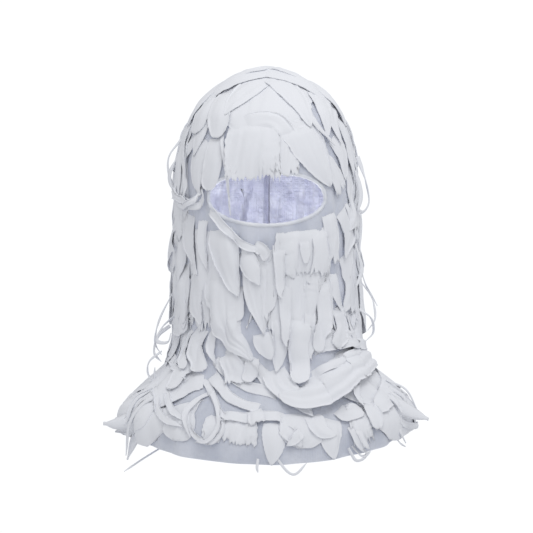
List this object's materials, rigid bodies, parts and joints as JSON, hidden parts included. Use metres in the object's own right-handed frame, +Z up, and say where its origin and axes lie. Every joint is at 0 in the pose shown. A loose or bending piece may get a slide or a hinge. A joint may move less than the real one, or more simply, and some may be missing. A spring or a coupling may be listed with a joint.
{
  "type": "ghillie balaclava",
  "caption": "White ghillie balaclava: knit hood with one oval eye opening and a flared shoulder cape, covered all over in leaf-cut, torn cloth",
  "frame": {"origin": "Where the top of a head seats against the inside of the crown (mount head_seat)", "axes": "+Z up along the longest side, the face and the eye opening look along -Y, +X is the wearer's left"},
  "size_m": [0.313, 0.2811, 0.3876],
  "materials": {
    "knit": "soft brushed knit, white with a cool grey cast",
    "leaf_cloth": "thin matt woven polyester, white, heat-cut edges",
    "trim": "overlocked knit seam and folded binding, pale lavender grey",
    "elastic": "covered white elastic"
  },
  "bodies": {
    "hood": {"hood_panel_left": "knit", "hood_panel_right": "knit", "cape_panel_left": "knit", "cape_panel_right": "knit", "crown_seam": "trim", "chin_seam": "trim", "cape_front_seam": "trim", "cape_back_seam": "trim", "neck_seam_left": "trim", "neck_seam_right": "trim", "hem_fold_left": "trim", "hem_fold_right": "trim", "eye_binding": "trim", "eye_elastic": "elastic", "crown_cowl": "leaf_cloth", "back_course_1": "leaf_cloth", "back_course_2": "leaf_cloth", "back_course_3": "leaf_cloth", "back_course_4": "leaf_cloth", "back_course_5": "leaf_cloth", "back_course_6": "leaf_cloth", "side_course_left_1": "leaf_cloth", "side_course_left_2": "leaf_cloth", "side_course_left_3": "leaf_cloth", "side_course_left_4": "leaf_cloth", "side_course_left_5": "leaf_cloth", "side_course_right_1": "leaf_cloth", "side_course_right_2": "leaf_cloth", "side_course_right_3": "leaf_cloth", "side_course_right_4": "leaf_cloth", "side_course_right_5": "leaf_cloth", "cape_upper_course_front": "leaf_cloth", "cape_upper_course_left": "leaf_cloth", "cape_upper_course_back": "leaf_cloth", "cape_upper_course_right": "leaf_cloth", "cape_lower_course_front": "leaf_cloth", "cape_lower_course_left": "leaf_cloth", "cape_lower_course_back": "leaf_cloth", "cape_lower_course_right": "leaf_cloth"},
    "forehead_leaf_left": {"forehead_leaf_left": "leaf_cloth"},
    "forehead_leaf_right": {"forehead_leaf_right": "leaf_cloth"},
    "temple_leaf_left": {"temple_leaf_left": "leaf_cloth"},
    "temple_leaf_right": {"temple_leaf_right": "leaf_cloth"},
    "brow_flap": {"brow_flap": "leaf_cloth"},
    "cheek_leaf_right": {"cheek_leaf_right": "leaf_cloth"},
    "jaw_leaf_right": {"jaw_leaf_right": "leaf_cloth"},
    "chin_leaf": {"chin_leaf": "leaf_cloth"},
    "throat_leaf": {"throat_leaf": "leaf_cloth"},
    "chin_patch": {"chin_patch": "leaf_cloth"},
    "jaw_strip_left": {"jaw_strip_left": "leaf_cloth"},
    "neck_strip_front": {"neck_strip_front": "leaf_cloth"},
    "neck_strip_side": {"neck_strip_side": "leaf_cloth"}
  },
  "joints": [
    {"name": "forehead_leaf_left_lift", "type": "hinge", "parent": "hood", "child": "forehead_leaf_left", "pos_m": [0.00773, -0.06217, -0.01251], "axis": [-0.7182, -0.6034, -0.3464], "range_deg": [0, 70]},
    {"name": "forehead_leaf_right_lift", "type": "hinge", "parent": "hood", "child": "forehead_leaf_right", "pos_m": [-0.00773, -0.06217, -0.01251], "axis": [-0.5407, 0.7189, 0.4368], "range_deg": [0, 70]},
    {"name": "temple_leaf_left_lift", "type": "hinge", "parent": "hood", "child": "temple_leaf_left", "pos_m": [0.03026, -0.09056, -0.05713], "axis": [-0.5425, -0.4783, -0.6906], "range_deg": [0, 70]},
    {"name": "temple_leaf_right_lift", "type": "hinge", "parent": "hood", "child": "temple_leaf_right", "pos_m": [-0.05186, -0.07265, -0.04902], "axis": [-0.5455, 0.7557, 0.3623], "range_deg": [0, 70]},
    {"name": "brow_flap_lift", "type": "hinge", "parent": "hood", "child": "brow_flap", "pos_m": [-0.01175, -0.09444, -0.0551], "axis": [-0.9857, 0.1471, 0.0819], "range_deg": [0, 70]},
    {"name": "cheek_leaf_right_lift", "type": "hinge", "parent": "hood", "child": "cheek_leaf_right", "pos_m": [-0.04773, -0.08827, -0.1641], "axis": [-0.8146, 0.5562, -0.1645], "range_deg": [0, 70]},
    {"name": "jaw_leaf_right_lift", "type": "hinge", "parent": "hood", "child": "jaw_leaf_right", "pos_m": [-0.05103, -0.07863, -0.22625], "axis": [-0.7593, 0.5482, -0.3505], "range_deg": [0, 70]},
    {"name": "chin_leaf_lift", "type": "hinge", "parent": "hood", "child": "chin_leaf", "pos_m": [-0.01287, -0.10048, -0.16636], "axis": [-0.9934, 0.115, 0], "range_deg": [0, 70]},
    {"name": "throat_leaf_lift", "type": "hinge", "parent": "hood", "child": "throat_leaf", "pos_m": [-0.0042, -0.09394, -0.25337], "axis": [-0.9828, 0.0053, -0.1848], "range_deg": [0, 70]},
    {"name": "chin_patch_lift", "type": "hinge", "parent": "hood", "child": "chin_patch", "pos_m": [0.03147, -0.09686, -0.16184], "axis": [-0.9353, -0.3301, -0.1275], "range_deg": [0, 70]},
    {"name": "jaw_strip_left_lift", "type": "hinge", "parent": "hood", "child": "jaw_strip_left", "pos_m": [0.01766, -0.09391, -0.20591], "axis": [-0.9854, -0.1594, -0.0602], "range_deg": [0, 70]},
    {"name": "neck_strip_front_lift", "type": "hinge", "parent": "hood", "child": "neck_strip_front", "pos_m": [0.03964, -0.08786, -0.24546], "axis": [-0.9037, -0.3807, 0.1958], "range_deg": [0, 70]},
    {"name": "neck_strip_side_lift", "type": "hinge", "parent": "hood", "child": "neck_strip_side", "pos_m": [0.05351, -0.07872, -0.20365], "axis": [-0.7899, -0.6132, 0], "range_deg": [0, 70]}
  ]
}
